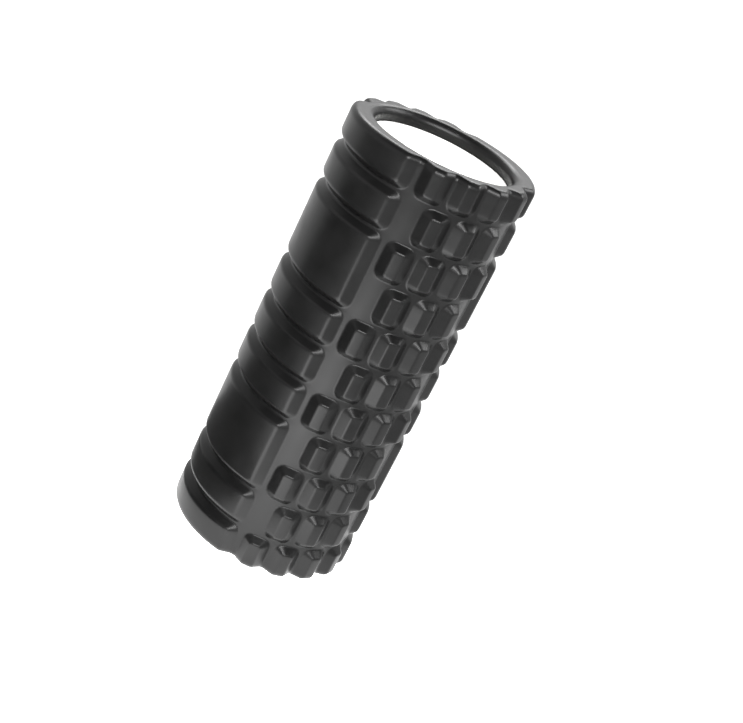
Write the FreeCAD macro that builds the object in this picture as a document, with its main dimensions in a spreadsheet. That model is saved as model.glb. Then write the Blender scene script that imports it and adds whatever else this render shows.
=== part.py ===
# Foam roller: a moulded EVA tread sleeve bonded round a rigid plastic core tube.
# Millimetres. The roller stands on one end: +Z runs along its axis and z = 0 is the lower end.
# The fields of small blocks face -Y and +Y. The long bars face +X and -X.

import FreeCAD, Part
import Sketcher
import math
import os
from FreeCAD import Placement, Rotation, Vector

os.makedirs("parts", exist_ok=True)
doc = FreeCAD.newDocument("foam_roller")

# Sizes. The first list drives the part, the second follows from it.

driving = [
    ("overall_length", "330"),
    ("outer_diameter", "140"),
    ("foam_thickness", "17.4"),
    ("tread_depth", "5.4"),
    ("end_row_height", "26.6"),
    ("row_gap", "11.5"),
    ("row_draft", "41"),
    ("small_width", "8"),
    ("small_draft", "46.5"),
    ("root_corner", "5.9"),
    ("top_corner", "1.8"),
    ("column_angle", "20.8"),
    ("bar_angle", "78.8"),
    ("bar_edge_angle", "6.3"),
    ("end_round", "5"),
    ("rim_radius", "6"),
    ("core_wall", "3.5"),
    ("core_recess", "10"),
    ("core_chamfer", "0.8"),
    ("film_thickness", "0.3"),
]

derived = [
    ("tread_radius", "=outer_diameter / 2"),
    ("floor_radius", "=tread_radius - tread_depth"),
    ("sleeve_bore", "=tread_radius - foam_thickness"),
    ("row_pitch", "=(overall_length - 2 * end_row_height) / 9"),
    ("low_row", "=end_row_height - row_pitch / 2"),
    ("block_half", "=(row_pitch - row_gap) / 2"),
    ("root_overlap", "2"),
    ("top_overlap", "0.5"),
    ("cut_margin", "30"),
    ("root_radius", "=floor_radius - root_overlap"),
    ("over_radius", "=tread_radius + top_overlap"),
    ("clear_radius", "=tread_radius + cut_margin"),
    ("cut_length", "=overall_length + 2 * cut_margin"),
    ("root_half", "=block_half + (tread_radius - root_radius) * tan(row_draft * 1deg)"),
    ("over_half", "=block_half - top_overlap * tan(row_draft * 1deg)"),
    ("root_width", "=small_width + 2 * (tread_radius - root_radius) * tan(small_draft * 1deg)"),
    ("over_width", "=small_width - 2 * top_overlap * tan(small_draft * 1deg)"),
    ("bar_overlap_angle", "4"),
    ("bar_sweep", "=bar_angle + 2 * bar_edge_angle + bar_overlap_angle"),
    ("field_root_angle", "=90 - bar_angle / 2 - bar_edge_angle"),
    ("field_top_angle", "=90 - bar_angle / 2"),
    ("field_root_x", "=floor_radius * sin(field_root_angle * 1deg)"),
    ("field_root_y", "=-floor_radius * cos(field_root_angle * 1deg)"),
    ("field_top_x", "=tread_radius * sin(field_top_angle * 1deg)"),
    ("field_top_y", "=-tread_radius * cos(field_top_angle * 1deg)"),
    ("field_over_x", "=field_root_x + 1.5 * (field_top_x - field_root_x)"),
    ("field_over_y", "=field_root_y + 1.5 * (field_top_y - field_root_y)"),
    ("inside_radius", "=sleeve_bore - root_overlap"),
    ("core_radius", "=sleeve_bore - film_thickness"),
    ("core_bore", "=core_radius - core_wall"),
    ("core_top", "=overall_length - core_recess"),
]

sheet = doc.addObject("Spreadsheet::Sheet", "sizes")
row = 1
for name, value in driving + derived:
    sheet.set("A%d" % row, name)
    sheet.set("B%d" % row, value)
    sheet.setAlias("B%d" % row, name)
    row = row + 1
doc.recompute()


def origin_feature(body, role):
    for feature in body.Origin.OriginFeatures:
        if feature.Role == role:
            return feature


def new_body(name):
    body = doc.addObject("PartDesign::Body", name)
    body.Label = name
    return body


def new_sketch(body, name, plane):
    sketch = body.newObject("Sketcher::SketchObject", name)
    sketch.AttachmentSupport = [(origin_feature(body, plane), "")]
    sketch.MapMode = "FlatFace"
    return sketch


# Adds a constraint and ties its value to the sizes.

def drive(sketch, constraint, rule):
    number = sketch.addConstraint(constraint)
    sketch.setExpression("Constraints[%d]" % number, rule)


# Ties one end of a line to its distances across and up from the sketch's origin.

def place_end(sketch, line, end, across, up):
    point = sketch.getPoint(line, end)
    if across is not None:
        drive(sketch, Sketcher.Constraint("DistanceX", -1, 1, line, end, point.x), across)
    if up is not None:
        drive(sketch, Sketcher.Constraint("DistanceY", -1, 1, line, end, point.y), up)


def point_at(sketch, across, up):
    return Vector(float(sketch.evalExpression(across)), float(sketch.evalExpression(up)), 0)


# A run of straight lines through the given corners, joined end to end.

def add_lines(sketch, corners, closed):
    spots = [point_at(sketch, across, up) for across, up in corners]
    count = len(corners)
    lines = []
    for i in range(count if closed else count - 1):
        lines.append(sketch.addGeometry(Part.LineSegment(spots[i], spots[(i + 1) % count])))
        if i > 0:
            sketch.addConstraint(Sketcher.Constraint("Coincident", lines[i - 1], 2, lines[i], 1))
    if closed:
        sketch.addConstraint(Sketcher.Constraint("Coincident", lines[-1], 2, lines[0], 1))
    for i, line in enumerate(lines):
        place_end(sketch, line, 1, corners[i][0], corners[i][1])
    return lines


# A quarter arc from the end of one line, anticlockwise, to the start of another.

def add_arc(sketch, before, after, centre, radius_rule):
    radius = float(sketch.evalExpression(radius_rule))
    circle = Part.Circle(centre, Vector(0, 0, 1), radius)
    start = circle.parameter(sketch.getPoint(before, 2))
    end = circle.parameter(sketch.getPoint(after, 1))
    arc = sketch.addGeometry(Part.ArcOfCircle(circle, start, end))
    sketch.addConstraint(Sketcher.Constraint("Coincident", arc, 1, before, 2))
    sketch.addConstraint(Sketcher.Constraint("Coincident", arc, 2, after, 1))
    drive(sketch, Sketcher.Constraint("Radius", arc, radius), radius_rule)


def turn(body, name, kind, sketch):
    feature = body.newObject(kind, name)
    feature.Profile = sketch
    feature.ReferenceAxis = (origin_feature(body, "Z_Axis"), [""])
    feature.Angle = 360
    return feature


# Repeats a feature up the axis and then round it.

def repeat(body, name, feature, rows, row_step, columns, column_step):
    moves = []
    up = doc.addObject("PartDesign::LinearPattern", name + "_rows")
    body.addObject(up)
    up.Direction = (origin_feature(body, "Z_Axis"), [""])
    up.Mode = "Spacing"
    up.setExpression("Offset", row_step)
    up.Occurrences = rows
    moves.append(up)
    if columns > 1:
        across = doc.addObject("PartDesign::PolarPattern", name + "_columns")
        body.addObject(across)
        across.Axis = (origin_feature(body, "Z_Axis"), [""])
        across.Mode = "Spacing"
        across.setExpression("Offset", column_step)
        across.Occurrences = columns
        moves.append(across)
    sides = doc.addObject("PartDesign::PolarPattern", name + "_sides")
    body.addObject(sides)
    sides.Axis = (origin_feature(body, "Z_Axis"), [""])
    sides.Mode = "Extent"
    sides.Angle = 360
    sides.Occurrences = 2
    moves.append(sides)
    pattern = body.newObject("PartDesign::MultiTransform", name)
    pattern.Originals = [feature]
    pattern.Transformations = moves
    body.Tip = pattern
    return pattern


# Foam sleeve: the plain ring under the tread, as deep as the groove floors.

sleeve = new_body("foam_sleeve")

ring_outline = new_sketch(sleeve, "ring_outline", "XZ_Plane")
add_lines(ring_outline, [
    ("sizes.sleeve_bore", "0"),
    ("sizes.floor_radius", "0"),
    ("sizes.floor_radius", "sizes.overall_length"),
    ("sizes.sleeve_bore", "sizes.overall_length"),
], True)
ring = turn(sleeve, "ring", "PartDesign::Revolution", ring_outline)
doc.recompute()

# Bars: one trapezoid rib turned part of the way round, one for every row.

bar_outline = new_sketch(sleeve, "bar_outline", "XZ_Plane")
add_lines(bar_outline, [
    ("sizes.root_radius", "sizes.low_row - sizes.root_half"),
    ("sizes.over_radius", "sizes.low_row - sizes.over_half"),
    ("sizes.over_radius", "sizes.low_row + sizes.over_half"),
    ("sizes.root_radius", "sizes.low_row + sizes.root_half"),
], True)
bar = turn(sleeve, "bar", "PartDesign::Revolution", bar_outline)
bar.Midplane = True
bar.setExpression("Angle", "sizes.bar_sweep")
bars = repeat(sleeve, "bars", bar, 11, "sizes.row_pitch", 1, "0")
doc.recompute()

# Two bars in each side are double height: the groove between two rows is filled in.

bridge_outline = new_sketch(sleeve, "bridge_outline", "XZ_Plane")
add_lines(bridge_outline, [
    ("sizes.root_radius", "sizes.low_row + 2 * sizes.row_pitch"),
    ("sizes.over_radius", "sizes.low_row + 2 * sizes.row_pitch"),
    ("sizes.over_radius", "sizes.low_row + 3 * sizes.row_pitch"),
    ("sizes.root_radius", "sizes.low_row + 3 * sizes.row_pitch"),
], True)
bridge = turn(sleeve, "bridge", "PartDesign::Revolution", bridge_outline)
bridge.Midplane = True
bridge.setExpression("Angle", "sizes.bar_sweep")
bridges = repeat(sleeve, "bridges", bridge, 2, "5 * sizes.row_pitch", 1, "0")
doc.recompute()

# The sloping ends of the bars, cut down to the groove floor across each small-block field.

field_outline = new_sketch(sleeve, "field_outline", "XY_Plane")
add_lines(field_outline, [
    ("sizes.field_root_x", "sizes.field_root_y"),
    ("sizes.field_over_x", "sizes.field_over_y"),
    ("sizes.field_over_x", "-sizes.clear_radius"),
    ("-sizes.field_over_x", "-sizes.clear_radius"),
    ("-sizes.field_over_x", "sizes.field_over_y"),
    ("-sizes.field_root_x", "sizes.field_root_y"),
], False)
floor_start = -90 - float(sheet.get("field_root_angle"))
floor_end = -90 + float(sheet.get("field_root_angle"))
floor_circle = Part.Circle(Vector(0, 0, 0), Vector(0, 0, 1), float(sheet.get("floor_radius")))
floor_arc = Part.ArcOfCircle(floor_circle, math.radians(floor_start), math.radians(floor_end))
arc = field_outline.addGeometry(floor_arc)
field_outline.addConstraint(Sketcher.Constraint("Coincident", arc, 3, -1, 1))
field_outline.addConstraint(Sketcher.Constraint("Coincident", arc, 2, 0, 1))
field_outline.addConstraint(Sketcher.Constraint("Coincident", arc, 1, 4, 2))
place_end(field_outline, 4, 2, "-sizes.field_root_x", None)
field_cut = sleeve.newObject("PartDesign::Pocket", "field_cut")
field_cut.Profile = field_outline
field_cut.Midplane = True
field_cut.Type = "Length"
field_cut.setExpression("Length", "2 * sizes.cut_length")
field_cuts = sleeve.newObject("PartDesign::PolarPattern", "field_cuts")
field_cuts.Originals = [field_cut]
field_cuts.Axis = (origin_feature(sleeve, "Z_Axis"), [""])
field_cuts.Angle = 360
field_cuts.Occurrences = 2
sleeve.Tip = field_cuts
doc.recompute()


# A rounded rectangle on a plane that faces outward, turned round the axis from -Y.

def block_outline(name, angle, distance, height, width, half, corner):
    sketch = new_sketch(sleeve, name, "XZ_Plane")
    sketch.AttachmentOffset = Placement(Vector(0, 0, 0), Rotation(Vector(0, 1, 0), 1))
    sketch.setExpression("AttachmentOffset.Rotation.Angle", "(%s) * 1deg" % angle)
    sketch.setExpression("AttachmentOffset.Base.x", "%s * sin((%s) * 1deg)" % (distance, angle))
    sketch.setExpression("AttachmentOffset.Base.z", "%s * cos((%s) * 1deg)" % (distance, angle))
    left = "-%s / 2" % width
    right = "%s / 2" % width
    low = "%s - %s" % (height, half)
    high = "%s + %s" % (height, half)
    sides = [
        (left + " + " + corner, low, right + " - " + corner, low),
        (right, low + " + " + corner, right, high + " - " + corner),
        (right + " - " + corner, high, left + " + " + corner, high),
        (left, high + " - " + corner, left, low + " + " + corner),
    ]
    for x1, y1, x2, y2 in sides:
        start = point_at(sketch, x1, y1)
        end = point_at(sketch, x2, y2)
        line = sketch.addGeometry(Part.LineSegment(start, end))
        place_end(sketch, line, 1, x1, y1)
        place_end(sketch, line, 2, x2, y2)
    for i in range(4):
        after = (i + 1) % 4
        start = sketch.getPoint(i, 2)
        end = sketch.getPoint(after, 1)
        if i % 2 == 0:
            centre = Vector(start.x, end.y, 0)
        else:
            centre = Vector(end.x, start.y, 0)
        add_arc(sketch, i, after, centre, corner)
    return sketch


# Small blocks: a tapered block with rounded corners, set in staggered rows.

def small_blocks(name, angle, height, rows, columns):
    root = block_outline(name + "_root", angle, "sizes.root_radius", height,
                         "sizes.root_width", "sizes.root_half", "sizes.root_corner")
    top = block_outline(name + "_top", angle, "sizes.over_radius", height,
                        "sizes.over_width", "sizes.over_half", "sizes.top_corner")
    block = sleeve.newObject("PartDesign::AdditiveLoft", name + "_block")
    block.Profile = root
    block.Sections = [top]
    block.Ruled = True
    doc.recompute()
    return repeat(sleeve, name, block, rows, "2 * sizes.row_pitch", columns, "sizes.column_angle")


small_blocks("fours", "-1.5 * sizes.column_angle", "sizes.low_row", 6, 4)
doc.recompute()
small_blocks("threes", "-sizes.column_angle", "(sizes.low_row + sizes.row_pitch)", 5, 3)
doc.recompute()

# The outside is trimmed to the tread radius and to both end planes, with a rounded edge between.

trim_outline = new_sketch(sleeve, "trim_outline", "XZ_Plane")
tread_line = add_lines(trim_outline, [
    ("sizes.tread_radius", "sizes.end_round"),
    ("sizes.tread_radius", "sizes.overall_length - sizes.end_round"),
], False)[0]
clear_lines = add_lines(trim_outline, [
    ("sizes.tread_radius - sizes.end_round", "sizes.overall_length"),
    ("sizes.inside_radius", "sizes.overall_length"),
    ("sizes.inside_radius", "sizes.overall_length + sizes.cut_margin"),
    ("sizes.clear_radius", "sizes.overall_length + sizes.cut_margin"),
    ("sizes.clear_radius", "-sizes.cut_margin"),
    ("sizes.inside_radius", "-sizes.cut_margin"),
    ("sizes.inside_radius", "0"),
    ("sizes.tread_radius - sizes.end_round", "0"),
], False)
place_end(trim_outline, tread_line, 2, None, "sizes.overall_length - sizes.end_round")
place_end(trim_outline, tread_line, 2, "sizes.tread_radius", None)
place_end(trim_outline, clear_lines[-1], 2, "sizes.tread_radius - sizes.end_round", None)
place_end(trim_outline, clear_lines[-1], 2, None, "0")
round_middle = float(sheet.get("tread_radius")) - float(sheet.get("end_round"))
upper_middle = Vector(round_middle, float(sheet.get("overall_length")) - float(sheet.get("end_round")), 0)
lower_middle = Vector(round_middle, float(sheet.get("end_round")), 0)
add_arc(trim_outline, tread_line, clear_lines[0], upper_middle, "sizes.end_round")
add_arc(trim_outline, clear_lines[-1], tread_line, lower_middle, "sizes.end_round")
trim = turn(sleeve, "trim", "PartDesign::Groove", trim_outline)
doc.recompute()


# Rounded rims at both mouths of the sleeve's bore.

def mouth_edges(shape, radius, heights):
    names = []
    for number, edge in enumerate(shape.Edges):
        if not isinstance(edge.Curve, Part.Circle):
            continue
        if abs(edge.Curve.Radius - radius) > 0.01:
            continue
        for height in heights:
            if abs(edge.Curve.Center.z - height) < 0.01:
                names.append("Edge%d" % (number + 1))
    return names


rims = sleeve.newObject("PartDesign::Fillet", "rims")
mouths = [0.0, float(sheet.get("overall_length"))]
rims.Base = (trim, mouth_edges(trim.Shape, float(sheet.get("sleeve_bore")), mouths))
rims.setExpression("Radius", "sizes.rim_radius")
sleeve.Tip = rims
doc.recompute()

# Core tube: a stiff plastic tube, a little shorter than the sleeve at each end.

core = new_body("core_tube")
core_outline = new_sketch(core, "core_outline", "XZ_Plane")
add_lines(core_outline, [
    ("sizes.core_bore + sizes.core_chamfer", "sizes.core_recess"),
    ("sizes.core_radius - sizes.core_chamfer", "sizes.core_recess"),
    ("sizes.core_radius", "sizes.core_recess + sizes.core_chamfer"),
    ("sizes.core_radius", "sizes.core_top - sizes.core_chamfer"),
    ("sizes.core_radius - sizes.core_chamfer", "sizes.core_top"),
    ("sizes.core_bore + sizes.core_chamfer", "sizes.core_top"),
    ("sizes.core_bore", "sizes.core_top - sizes.core_chamfer"),
    ("sizes.core_bore", "sizes.core_recess + sizes.core_chamfer"),
], True)
turn(core, "core_turned", "PartDesign::Revolution", core_outline)

# Adhesive film: the glue layer that bonds the sleeve to the core tube.

film = new_body("adhesive_film")
film_outline = new_sketch(film, "film_outline", "XZ_Plane")
add_lines(film_outline, [
    ("sizes.core_radius", "sizes.core_recess + sizes.core_chamfer"),
    ("sizes.sleeve_bore", "sizes.core_recess + sizes.core_chamfer"),
    ("sizes.sleeve_bore", "sizes.core_top - sizes.core_chamfer"),
    ("sizes.core_radius", "sizes.core_top - sizes.core_chamfer"),
], True)
turn(film, "film_turned", "PartDesign::Revolution", film_outline)
doc.recompute()

# Every object is checked before the parts are written.

for item in doc.Objects:
    if "Invalid" in item.State or "Error" in item.State:
        raise RuntimeError("feature failed: " + item.Name)

for body in (sleeve, core, film):
    shape = body.Shape
    if shape.isNull() or not shape.isValid() or len(shape.Solids) != 1:
        raise RuntimeError("not one sound solid: " + body.Label)
    shape.exportStep("parts/" + body.Label + ".step")
    print(body.Label, round(shape.Volume), shape.BoundBox)
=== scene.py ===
import math
import bpy
import bmesh
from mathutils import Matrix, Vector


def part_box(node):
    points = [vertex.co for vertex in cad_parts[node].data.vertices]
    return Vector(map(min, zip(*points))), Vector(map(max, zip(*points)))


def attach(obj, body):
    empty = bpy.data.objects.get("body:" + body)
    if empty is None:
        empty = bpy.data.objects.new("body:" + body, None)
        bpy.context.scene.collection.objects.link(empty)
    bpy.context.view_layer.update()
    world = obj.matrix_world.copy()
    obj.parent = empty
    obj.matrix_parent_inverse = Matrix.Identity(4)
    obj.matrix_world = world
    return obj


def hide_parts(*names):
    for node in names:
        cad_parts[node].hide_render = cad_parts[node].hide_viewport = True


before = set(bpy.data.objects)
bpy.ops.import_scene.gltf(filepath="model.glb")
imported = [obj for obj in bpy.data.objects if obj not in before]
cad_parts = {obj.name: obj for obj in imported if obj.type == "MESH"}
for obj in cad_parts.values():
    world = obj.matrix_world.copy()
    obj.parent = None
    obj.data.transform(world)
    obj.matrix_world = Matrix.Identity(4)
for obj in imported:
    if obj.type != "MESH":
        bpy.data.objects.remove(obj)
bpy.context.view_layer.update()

# Foam roller: a moulded EVA tread sleeve bonded round a rigid core tube, standing on one end.
# Metres. +Z runs along the roller's axis; the fields of small blocks face -Y and +Y.


# FOAM SLEEVE
# One moulded piece of closed-cell EVA foam, black, with a smooth satin skin from the mould. Its tread
# stands on a plain ring: staggered small blocks in two fields, and long bars between the fields. It is
# modelled flat, as the sheet it would unroll to, with the tread facing -Y, and then bent round.

sleeve_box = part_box("foam_sleeve")
film_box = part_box("adhesive_film")
roller_length = sleeve_box[1][2]
tread_radius = sleeve_box[1][0]
bore_radius = film_box[1][0]
tread_depth = 0.0054
floor_radius = tread_radius - tread_depth
row_count = 11
end_row_height = 0.0266
row_pitch = (roller_length - 2 * end_row_height) / (row_count - 2)
row_gap = 0.0115
low_row = end_row_height - row_pitch / 2
block_height = row_pitch - row_gap
row_draft = math.radians(41)
foot_height = block_height + 2 * tread_depth * math.tan(row_draft)

# Half a turn is 69 steps of the flat sheet: 32 for a field of small blocks and 37 for a bar.

half_turn_steps = 69
column_steps = 8
field_steps = 4 * column_steps
bar_steps = half_turn_steps - field_steps
step = math.pi * floor_radius / half_turn_steps
half_turn = half_turn_steps * step
row_steps = 8

# Points closer than a hair to a plane lie in it. An outline's own edges are found within a wider slack.

hair = 1e-6
slack = 1e-5


def flat_width(degrees):
    return math.radians(degrees) * floor_radius


# Selects the vertices or edges of the mesh in edit mode that pass a test on their middle.

def pick(kind, test):
    bpy.ops.mesh.select_all(action="DESELECT")
    bpy.ops.mesh.select_mode(type=kind)
    mesh = bmesh.from_edit_mesh(bpy.context.object.data)
    if kind == "VERT":
        for vert in mesh.verts:
            vert.select = test(vert.co, vert)
    if kind == "EDGE":
        for edge in mesh.edges:
            edge.select = test((edge.verts[0].co + edge.verts[1].co) / 2, edge)
    mesh.select_flush_mode()
    bmesh.update_edit_mesh(bpy.context.object.data)


def is_level(edge):
    return abs(edge.verts[0].co.z - edge.verts[1].co.z) < hair


def is_upright(edge):
    return abs(edge.verts[0].co.x - edge.verts[1].co.x) < hair


# An edge where a sloping wall meets a flat face.

def on_wall(edge):
    flattest_wall = 0.95
    slopes = [abs(face.normal.y) < flattest_wall for face in edge.link_faces]
    return len(slopes) == 2 and slopes[0] != slopes[1]


# Adds a rectangle of edges in the flat sheet's plane, with rounded corners where asked, and divides its
# straight sides so that every ring of a block has the same number of edges.

def add_ring(width, height, depth, corner, across, up, first):
    corner_steps = 4
    spot = (0, -depth, 0)
    if first:
        bpy.ops.mesh.primitive_plane_add(size=1, location=(0, 0, 0), rotation=(math.pi / 2, 0, 0))
        bpy.ops.object.transform_apply(location=False, rotation=True, scale=False)
        bpy.ops.object.mode_set(mode="EDIT")
    else:
        bpy.ops.mesh.primitive_plane_add(size=1, location=spot, rotation=(math.pi / 2, 0, 0))
    bpy.ops.transform.resize(value=(width, 1, height), center_override=spot)
    level_cuts = across - 1
    upright_cuts = up - 1
    if corner > 0:
        bpy.ops.mesh.bevel(offset=corner, segments=corner_steps, affect="VERTICES", clamp_overlap=False)
        level_cuts = level_cuts - corner_steps
        upright_cuts = upright_cuts - corner_steps
    bpy.ops.mesh.delete(type="ONLY_FACE")
    nearly_all = 0.9
    level = (width - 2 * corner) * nearly_all
    upright = (height - 2 * corner) * nearly_all
    pick("EDGE", lambda at, e: abs(at.y + depth) < hair and is_level(e) and e.calc_length() > level
         and abs(abs(at.z) - height / 2) < slack)
    bpy.ops.mesh.subdivide(number_cuts=level_cuts)
    pick("EDGE", lambda at, e: abs(at.y + depth) < hair and is_upright(e) and e.calc_length() > upright
         and abs(abs(at.x) - width / 2) < slack)
    bpy.ops.mesh.subdivide(number_cuts=upright_cuts)


# One block of the tread in its cell of groove floor: a rounded foot, sloping walls, a flat top, a fillet
# round the foot and a softened edge round the top. Rings that lie in one plane are joined with a lift
# between them, which is then taken out.

def add_block(name, cell_width, cell_height, foot, top, foot_corner, top_corner, soft_edge, across, up):
    fillet = 0.0009
    fillet_steps = 3
    flat_margin = 0.0010
    inset = soft_edge + flat_margin
    lift = 0.002
    inner_width = top[0] - 2 * inset
    inner_height = top[1] - 2 * inset
    add_ring(cell_width, cell_height, 0, 0, across, up, True)
    block = bpy.context.object
    block.name = name
    add_ring(foot[0], foot[1], lift, foot_corner, across, up, False)
    pick("EDGE", lambda at, e: abs(at.y) < hair or abs(at.y + lift) < hair)
    bpy.ops.mesh.bridge_edge_loops()
    pick("VERT", lambda at, v: abs(at.y + lift) < hair)
    bpy.ops.transform.translate(value=(0, lift, 0))
    add_ring(top[0], top[1], tread_depth, top_corner, across, up, False)
    pick("EDGE", lambda at, e: abs(at.y + tread_depth) < hair or (
        len(e.link_faces) == 1 and abs(at.x) < foot[0] / 2 + slack and abs(at.z) < foot[1] / 2 + slack))
    bpy.ops.mesh.bridge_edge_loops()
    middle = (0, -tread_depth - lift, 0)
    bpy.ops.mesh.primitive_grid_add(x_subdivisions=across, y_subdivisions=up, size=1,
                                    location=middle, rotation=(math.pi / 2, 0, 0))
    bpy.ops.transform.resize(value=(inner_width, 1, inner_height), center_override=middle)
    pick("EDGE", lambda at, e: at.y < -tread_depth + hair and len(e.link_faces) == 1)
    bpy.ops.mesh.bridge_edge_loops()
    pick("VERT", lambda at, v: abs(at.y - middle[1]) < hair)
    bpy.ops.transform.translate(value=(0, lift, 0))
    pick("EDGE", lambda at, e: abs(at.y + tread_depth) < hair and on_wall(e))
    bpy.ops.mesh.bevel(offset=soft_edge, segments=fillet_steps, affect="EDGES", clamp_overlap=False)
    pick("EDGE", lambda at, e: abs(at.y) < hair and on_wall(e))
    bpy.ops.mesh.bevel(offset=fillet, segments=fillet_steps, affect="EDGES", clamp_overlap=False)
    bpy.ops.object.mode_set(mode="OBJECT")
    return block


def repeat(piece, count, offset):
    array = piece.modifiers.new("repeat", "ARRAY")
    array.count = count
    array.use_relative_offset = False
    array.use_constant_offset = True
    array.constant_offset_displace = offset
    bpy.ops.object.modifier_apply(modifier=array.name)


def put(piece, across, up):
    piece.location = (across * step, 0, up)
    bpy.ops.object.transform_apply(location=True, rotation=False, scale=False)


# Small blocks: rows of four, with rows of three between them set half a column aside.

bpy.ops.object.select_all(action="DESELECT")
sheet = []
small_foot_angle = 18.9
small_top_angle = 6.57
small_foot = (flat_width(small_foot_angle), foot_height)
small_top = (flat_width(small_top_angle), block_height)
foot_corner = 0.0065
top_corner = 0.0019
small_edge = 0.0011
small_rows = [(0, 6, 4), (1, 5, 3)]
for first_row, rows, columns in small_rows:
    block = add_block("small_blocks", column_steps * step, row_pitch, small_foot, small_top,
                      foot_corner, top_corner, small_edge, column_steps, row_steps)
    put(block, -(columns - 1) / 2 * column_steps, low_row + first_row * row_pitch)
    repeat(block, columns, (column_steps * step, 0, 0))
    repeat(block, rows, (0, 0, 2 * row_pitch))
    sheet.append(block)

# Bars: a short one in most rows, and a double-height one that fills two rows.

bar_angle = 78.8
bar_edge_angle = 6.3
bar_foot_width = flat_width(bar_angle + 2 * bar_edge_angle)
bar_top_width = flat_width(bar_angle)
bar_edge = 0.0017
bars = [(0, 2, 1), (2, 1, 2), (4, 3, 1), (7, 1, 2), (9, 2, 1)]
for first_row, count, rows_tall in bars:
    taller = (rows_tall - 1) * row_pitch
    bar = add_block("bars", bar_steps * step, row_pitch + taller, (bar_foot_width, foot_height + taller),
                    (bar_top_width, block_height + taller), foot_corner, top_corner,
                    bar_edge, bar_steps, row_steps * rows_tall)
    put(bar, half_turn_steps / 2, low_row + first_row * row_pitch + taller / 2)
    repeat(bar, count, (0, 0, row_pitch))
    sheet.append(bar)

# Groove floor beside the rows of three blocks.

margin_steps = column_steps // 2
rows_of_three = row_count // 2
bpy.ops.mesh.primitive_grid_add(x_subdivisions=margin_steps, y_subdivisions=row_steps, size=1,
                                rotation=(math.pi / 2, 0, 0))
margin = bpy.context.object
margin.name = "floor_margins"
margin.scale = (margin_steps * step, row_pitch, 1)
bpy.ops.object.transform_apply(location=False, rotation=True, scale=True)
put(margin, (margin_steps - field_steps) / 2, low_row + row_pitch)
repeat(margin, 2, ((field_steps - margin_steps) * step, 0, 0))
repeat(margin, rows_of_three, (0, 0, 2 * row_pitch))
sheet.append(margin)

# The cells are welded into one half turn, which is copied to make the whole turn.

bpy.ops.object.select_all(action="DESELECT")
for piece in sheet:
    piece.select_set(True)
bpy.context.view_layer.objects.active = sheet[0]
bpy.ops.object.join()
sleeve = bpy.context.object
sleeve.name = "moulded_sleeve"
sleeve.data.name = "moulded_sleeve"
repeat(sleeve, 2, (half_turn, 0, 0))
bpy.ops.object.mode_set(mode="EDIT")
bpy.ops.mesh.select_all(action="SELECT")
bpy.ops.mesh.remove_doubles(threshold=0.00003)

# Both ends are cut square, the outer edge of each end is rounded, and the foam is carried in across the
# flat end, round the rounded mouth and down the bore to its middle.

end_round = 0.005
rim_radius = 0.006
round_steps = 6
mouth_depth = floor_radius - bore_radius

ends = [(0, -1), (roller_length, 1)]
for end_height, outward in ends:
    cut_height = end_height - outward * end_round
    bpy.ops.mesh.select_all(action="SELECT")
    bpy.ops.mesh.bisect(plane_co=(0, 0, cut_height), plane_no=(0, 0, outward), clear_outer=True,
                        threshold=0.000001)
    pick("EDGE", lambda at, e: abs(at.z - cut_height) < slack and len(e.link_faces) == 1)
    for i in range(round_steps):
        before = math.pi / 2 * i / round_steps
        after = math.pi / 2 * (i + 1) / round_steps
        rise = end_round * (math.sin(after) - math.sin(before))
        inward = end_round * (math.cos(before) - math.cos(after))
        move = (0, inward, outward * rise)
        bpy.ops.mesh.extrude_region_move(TRANSFORM_OT_translate={"value": move})
    bpy.ops.mesh.extrude_region_move(TRANSFORM_OT_translate={"value": (0, 0, 0)})
    bpy.ops.transform.resize(value=(1, 0, 1), center_override=(0, mouth_depth - rim_radius, 0))
    for i in range(round_steps):
        before = math.pi / 2 * i / round_steps
        after = math.pi / 2 * (i + 1) / round_steps
        fall = rim_radius * (math.cos(before) - math.cos(after))
        inward = rim_radius * (math.sin(after) - math.sin(before))
        move = (0, inward, -outward * fall)
        bpy.ops.mesh.extrude_region_move(TRANSFORM_OT_translate={"value": move})
    move = (0, 0, -outward * (roller_length / 2 - rim_radius))
    bpy.ops.mesh.extrude_region_move(TRANSFORM_OT_translate={"value": move})
bpy.ops.object.mode_set(mode="OBJECT")

# The sheet is bent once round, and its two side edges and the two halves of the bore are welded.

bend = sleeve.modifiers.new("bend", "SIMPLE_DEFORM")
bend.deform_method = "BEND"
bend.deform_axis = "Z"
bend.angle = 2 * math.pi
bpy.context.scene.cursor.location = (0, 0, 0)
bpy.ops.object.origin_set(type="ORIGIN_CURSOR")
bpy.ops.object.modifier_apply(modifier=bend.name)
sleeve.location = (0, -floor_radius, 0)
bpy.ops.object.transform_apply(location=True, rotation=False, scale=False)
bpy.ops.object.mode_set(mode="EDIT")
bpy.ops.mesh.select_all(action="SELECT")
bpy.ops.mesh.remove_doubles(threshold=0.00002)
bpy.ops.mesh.normals_make_consistent(inside=False)
bpy.ops.object.mode_set(mode="OBJECT")
bpy.ops.object.shade_smooth()

weighted = sleeve.modifiers.new("even_shading", "WEIGHTED_NORMAL")
weighted.keep_sharp = False
weighted.weight = 60
bpy.ops.object.modifier_apply(modifier=weighted.name)


def srgb(code):
    channels = []
    for i in (0, 2, 4):
        value = int(code[i:i + 2], 16) / 255
        if value <= 0.04045:
            channels.append(value / 12.92)
        else:
            channels.append(((value + 0.055) / 1.055) ** 2.4)
    return (channels[0], channels[1], channels[2], 1.0)


# Adds a node with its settings, and links named inputs from other nodes' outputs.

def add_node(tree, kind, settings, links):
    node = tree.nodes.new(kind)
    for name, value in settings.items():
        if name in node.inputs:
            node.inputs[name].default_value = value
        else:
            setattr(node, name, value)
    for name, source in links.items():
        tree.links.new(source, node.inputs[name])
    return node


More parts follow.
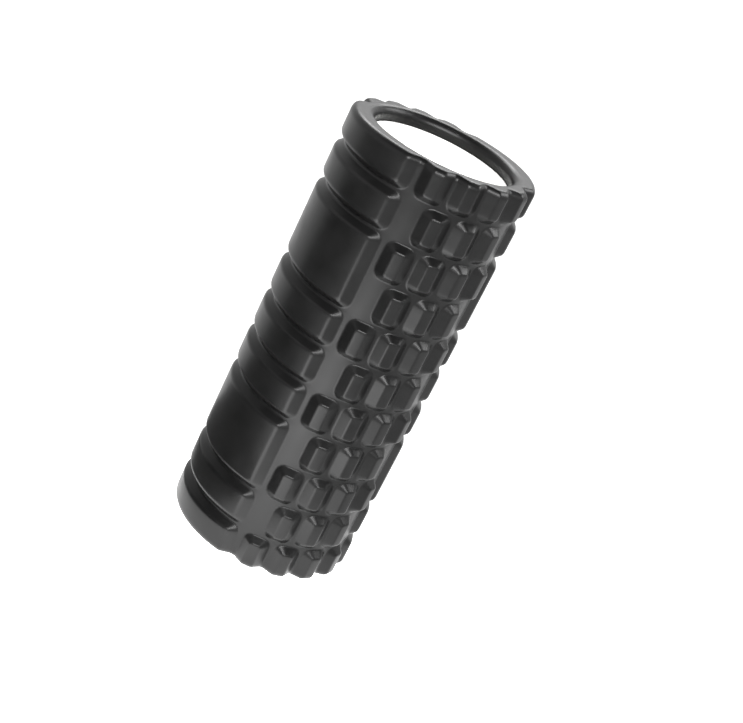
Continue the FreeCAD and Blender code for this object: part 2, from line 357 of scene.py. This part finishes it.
# Moulded EVA foam: near black all through, with a closed satin skin. The eye gets a soft, fairly even
# sheen off the skin, a fine pebble from the mould, and slow changes of gloss where it has been handled.
# Its IOR is below solid EVA's 1.48, matched to how little the real skin mirrors its surroundings.

eva = bpy.data.materials.new("moulded_eva_foam")
eva.use_nodes = True
tree = eva.node_tree
eva_shader = tree.nodes["Principled BSDF"]
eva_place = add_node(tree, "ShaderNodeTexCoord", {}, {})
pebble_size = 0.0007
bloom_size = 0.018
pebble = add_node(tree, "ShaderNodeTexNoise", {"Scale": 1 / pebble_size, "Detail": 2.0, "Roughness": 0.5},
                  {"Vector": eva_place.outputs["Object"]})
bloom = add_node(tree, "ShaderNodeTexNoise", {"Scale": 1 / bloom_size, "Detail": 4.0, "Roughness": 0.55},
                 {"Vector": eva_place.outputs["Object"]})
shade = add_node(tree, "ShaderNodeValToRGB", {}, {"Fac": bloom.outputs["Fac"]})
shade.color_ramp.elements[0].position = 0.3
shade.color_ramp.elements[0].color = srgb("0b0b0b")
shade.color_ramp.elements[1].position = 0.7
shade.color_ramp.elements[1].color = srgb("111111")
gloss = add_node(tree, "ShaderNodeMapRange", {"From Min": 0.3, "From Max": 0.7, "To Min": 0.30,
                 "To Max": 0.38}, {"Value": bloom.outputs["Fac"]})
skin = add_node(tree, "ShaderNodeBump", {"Strength": 0.12, "Distance": 0.0001},
                {"Height": pebble.outputs["Fac"]})
tree.links.new(shade.outputs["Color"], eva_shader.inputs["Base Color"])
tree.links.new(gloss.outputs["Result"], eva_shader.inputs["Roughness"])
tree.links.new(skin.outputs["Normal"], eva_shader.inputs["Normal"])
eva_shader.inputs["IOR"].default_value = 1.28
sleeve.data.materials.clear()
sleeve.data.materials.append(eva)

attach(sleeve, "root")
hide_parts("foam_sleeve")


# CORE TUBE
# The stiff tube inside the foam, extruded in white PVC and sawn to length a little shorter than the
# foam, with its sawn edges broken. It is turned here from its wall's outline.

core_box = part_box("core_tube")
core_low = core_box[0][2]
core_high = core_box[1][2]
core_radius = core_box[1][0]
core_wall = 0.0035
core_chamfer = 0.0008
core_middle = core_radius - core_wall / 2
tube_steps = 144

bpy.ops.object.select_all(action="DESELECT")
bpy.ops.mesh.primitive_plane_add(size=1, location=(core_middle, 0, (core_low + core_high) / 2),
                                 rotation=(math.pi / 2, 0, 0))
core = bpy.context.object
core.name = "extruded_core"
core.data.name = "extruded_core"
core.scale = (core_wall, core_high - core_low, 1)
bpy.ops.object.transform_apply(location=True, rotation=True, scale=True)
bpy.ops.object.mode_set(mode="EDIT")
bpy.ops.mesh.select_all(action="SELECT")
bpy.ops.mesh.bevel(offset=core_chamfer, segments=2, affect="VERTICES")
bpy.ops.mesh.delete(type="ONLY_FACE")
bpy.ops.mesh.select_all(action="SELECT")
bpy.ops.mesh.spin(steps=tube_steps, angle=2 * math.pi, center=(0, 0, 0), axis=(0, 0, 1))
bpy.ops.mesh.select_all(action="SELECT")
bpy.ops.mesh.remove_doubles(threshold=0.00001)
bpy.ops.mesh.normals_make_consistent(inside=False)
bpy.ops.object.mode_set(mode="OBJECT")
bpy.ops.object.shade_smooth_by_angle(angle=math.radians(35))

# Extruded rigid PVC: white, semi-matt, with faint draw lines along its length and a slight warm cast.

pvc = bpy.data.materials.new("extruded_pvc")
pvc.use_nodes = True
tree = pvc.node_tree
pvc_shader = tree.nodes["Principled BSDF"]
pvc_place = add_node(tree, "ShaderNodeTexCoord", {}, {})
draw_width = 0.0012
draw_stretch = add_node(tree, "ShaderNodeMapping", {"Scale": (1.0, 1.0, 0.01)},
                        {"Vector": pvc_place.outputs["Object"]})
draw_lines = add_node(tree, "ShaderNodeTexNoise", {"Scale": 1 / draw_width, "Detail": 2.0},
                      {"Vector": draw_stretch.outputs["Vector"]})
draw_bump = add_node(tree, "ShaderNodeBump", {"Strength": 0.08, "Distance": 0.0001},
                     {"Height": draw_lines.outputs["Fac"]})
pvc_tone = add_node(tree, "ShaderNodeValToRGB", {}, {"Fac": draw_lines.outputs["Fac"]})
pvc_tone.color_ramp.elements[0].color = srgb("f4f4f1")
pvc_tone.color_ramp.elements[1].color = srgb("fafaf8")
tree.links.new(pvc_tone.outputs["Color"], pvc_shader.inputs["Base Color"])
tree.links.new(draw_bump.outputs["Normal"], pvc_shader.inputs["Normal"])
pvc_shader.inputs["Roughness"].default_value = 0.42
pvc_shader.inputs["IOR"].default_value = 1.53
core.data.materials.append(pvc)

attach(core, "root")
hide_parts("core_tube")


# ADHESIVE FILM
# The thin layer of contact adhesive that holds the foam to the tube. Only its edge can be seen, as a
# hair line at each end of the tube, so the CAD film keeps its shape and gets a dull grey-brown finish.

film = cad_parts["adhesive_film"]
glue = bpy.data.materials.new("dried_contact_adhesive")
glue.use_nodes = True
tree = glue.node_tree
glue_shader = tree.nodes["Principled BSDF"]
glue_place = add_node(tree, "ShaderNodeTexCoord", {}, {})
brush_mark = 0.003
brushing = add_node(tree, "ShaderNodeTexNoise", {"Scale": 1 / brush_mark, "Detail": 3.0},
                    {"Vector": glue_place.outputs["Object"]})
glue_tone = add_node(tree, "ShaderNodeValToRGB", {}, {"Fac": brushing.outputs["Fac"]})
glue_tone.color_ramp.elements[0].color = srgb("35332e")
glue_tone.color_ramp.elements[1].color = srgb("45423b")
tree.links.new(glue_tone.outputs["Color"], glue_shader.inputs["Base Color"])
glue_shader.inputs["Roughness"].default_value = 0.55
film.data.materials.clear()
film.data.materials.append(glue)


# STUDIO
# A plain pale floor that glows evenly, with a brighter pool of light painted into its glow in front and to
# the left, a pale surround that is darker overhead, three soft panel lights, a snoot aimed into the bore,
# and dark flags close on the left.

bpy.ops.object.select_all(action="DESELECT")
bpy.ops.mesh.primitive_plane_add(size=30, location=(0, 0, 0))
floor = bpy.context.object
floor.name = "studio_floor"
paper = bpy.data.materials.new("glowing_paper_painted_pool")
paper.use_nodes = True
tree = paper.node_tree
paper_shader = tree.nodes["Principled BSDF"]
paper_shader.inputs["Base Color"].default_value = srgb("8c8c8c")
paper_shader.inputs["Roughness"].default_value = 0.9
paper_shader.inputs["Emission Color"].default_value = srgb("ffffff")
# Painted light: the floor's glow is raised in a stretched pool in front of and to the left of the roller.
# This is a pool of light painted into the floor, not cast by any lamp.
pool_place = add_node(tree, "ShaderNodeTexCoord", {}, {})
pool_turn = math.radians(48)
pool_shape = add_node(tree, "ShaderNodeMapping", {"vector_type": "TEXTURE", "Location": (-0.33, -0.37, 0.0),
                      "Rotation": (0.0, 0.0, pool_turn), "Scale": (0.70, 0.22, 1.0)},
                      {"Vector": pool_place.outputs["Object"]})
pool = add_node(tree, "ShaderNodeTexGradient", {"gradient_type": "SPHERICAL"},
                {"Vector": pool_shape.outputs["Vector"]})
painted_pool_glow = add_node(tree, "ShaderNodeMapRange", {"interpolation_type": "SMOOTHSTEP", "To Min": 0.93,
                      "To Max": 12.0}, {"Value": pool.outputs["Fac"]})
tree.links.new(painted_pool_glow.outputs["Result"], paper_shader.inputs["Emission Strength"])
floor.data.materials.append(paper)

world = bpy.data.worlds.new("studio_surround")
bpy.context.scene.world = world
world.use_nodes = True
tree = world.node_tree
sky = tree.nodes["Background"]
direction = add_node(tree, "ShaderNodeTexCoord", {}, {})
height = add_node(tree, "ShaderNodeSeparateXYZ", {}, {"Vector": direction.outputs["Generated"]})
fade = add_node(tree, "ShaderNodeValToRGB", {}, {"Fac": height.outputs["Z"]})
fade.color_ramp.elements[0].position = 0.55
fade.color_ramp.elements[0].color = (1.0, 1.0, 1.0, 1.0)
fade.color_ramp.elements[1].position = 0.85
fade.color_ramp.elements[1].color = (0.04, 0.04, 0.04, 1.0)
tree.links.new(fade.outputs["Color"], sky.inputs["Color"])
sky.inputs["Strength"].default_value = 1.0


# Adds a light aimed at a height on the roller's axis, from a direction and a distance.

def add_light(name, kind, azimuth, elevation, distance, aim_height, power):
    turn = math.radians(azimuth)
    lift = math.radians(elevation)
    place = (distance * math.sin(turn) * math.cos(lift),
             -distance * math.cos(turn) * math.cos(lift),
             aim_height + distance * math.sin(lift))
    bpy.ops.object.light_add(type=kind, location=place)
    light = bpy.context.object
    light.name = name
    light.data.energy = power
    light.rotation_euler = (math.pi / 2 - lift, 0, turn)
    return light


panel_distance = 1.6
panel_height = 0.45
panels = [("key_panel", -20, 36, 1.2, 42), ("back_panel", 155, 42, 1.2, 20), ("side_panel", 80, 42, 0.9, 14)]
for name, azimuth, elevation, width, power in panels:
    panel = add_light(name, "AREA", azimuth, elevation, panel_distance, roller_length / 2, power)
    panel.data.shape = "RECTANGLE"
    panel.data.size = width
    panel.data.size_y = panel_height

# A narrow snoot shines into the mouth of the bore, so that the white tube reads bright.

snoot = add_light("snoot", "SPOT", -36, 62, 0.8, roller_length, 40)
snoot.data.spot_size = math.radians(5.5)
snoot.data.spot_blend = 0.2
snoot.data.shadow_soft_size = 0.01

# Two dark flags keep the bars dark, one standing close on the left and one lying beside the lower rows.
# Only reflections see them, so they hide nothing from the camera.

felt = bpy.data.materials.new("dark_felt")
felt.use_nodes = True
felt_shader = felt.node_tree.nodes["Principled BSDF"]
felt_shader.inputs["Base Color"].default_value = srgb("5a5a5a")
felt_shader.inputs["Roughness"].default_value = 1.0


def add_flag(name, place, turn, width, height):
    bpy.ops.mesh.primitive_plane_add(size=1, location=place, rotation=turn)
    flag = bpy.context.object
    flag.name = name
    flag.scale = (width, height, 1)
    flag.visible_camera = False
    flag.visible_shadow = False
    flag.data.materials.append(felt)


add_flag("standing_flag", (-0.355, 0.063, 0.14), (math.pi / 2, 0, math.radians(-100)), 0.36, 0.28)
add_flag("lying_flag", (-0.250, 0.101, 0.002), (0, 0, math.radians(158)), 0.36, 0.34)

# The camera stands to the left of the small blocks, a little above, and is tipped to one side.

camera_data = bpy.data.cameras.new("camera")
camera_data.lens = 72.32
camera_data.sensor_width = 36
camera = bpy.data.objects.new("camera", camera_data)
bpy.context.collection.objects.link(camera)
camera.location = (-0.5813, -0.8247, 0.5710)
camera.rotation_euler = (math.radians(65.54), math.radians(-24.64), math.radians(-25.64))
bpy.context.scene.camera = camera
bpy.context.scene.view_settings.view_transform = "Standard"
